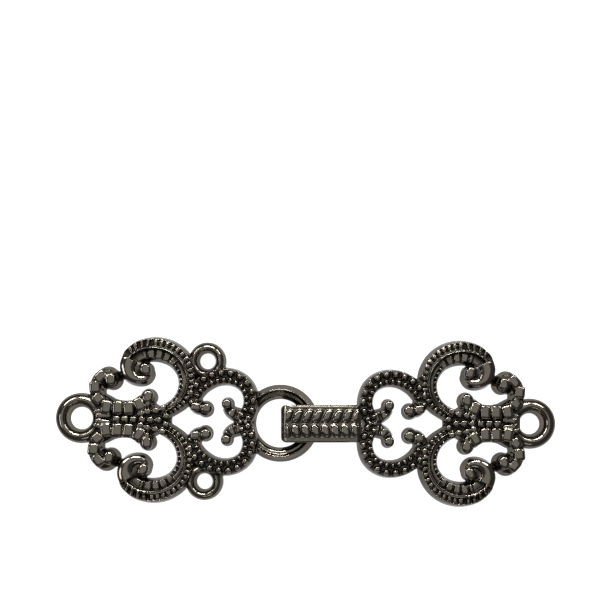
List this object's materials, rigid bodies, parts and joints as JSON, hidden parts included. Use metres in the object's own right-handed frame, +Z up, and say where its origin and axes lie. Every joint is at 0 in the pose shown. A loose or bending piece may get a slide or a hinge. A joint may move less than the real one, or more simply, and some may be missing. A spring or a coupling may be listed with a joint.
{
  "type": "hook and eye clasp",
  "caption": "Dark gunmetal cast scroll clasp for a cloak or cardigan: a pierced hook half and a pierced eye half, shown fastened, with loops for sewing on.",
  "frame": {"origin": "middle of the fastened clasp, on the surface it lies on", "axes": "+X along the clasp from the eye half to the hook half, +Y across it, +Z up from the surface through the ornamented face"},
  "size_m": [0.0701, 0.0239, 0.0046],
  "materials": {
    "gunmetal": "black-nickel plated zinc die casting, polished and a little uneven"
  },
  "bodies": {
    "root": {"eye_half": "gunmetal", "hook_half": "gunmetal"}
  },
  "joints": []
}
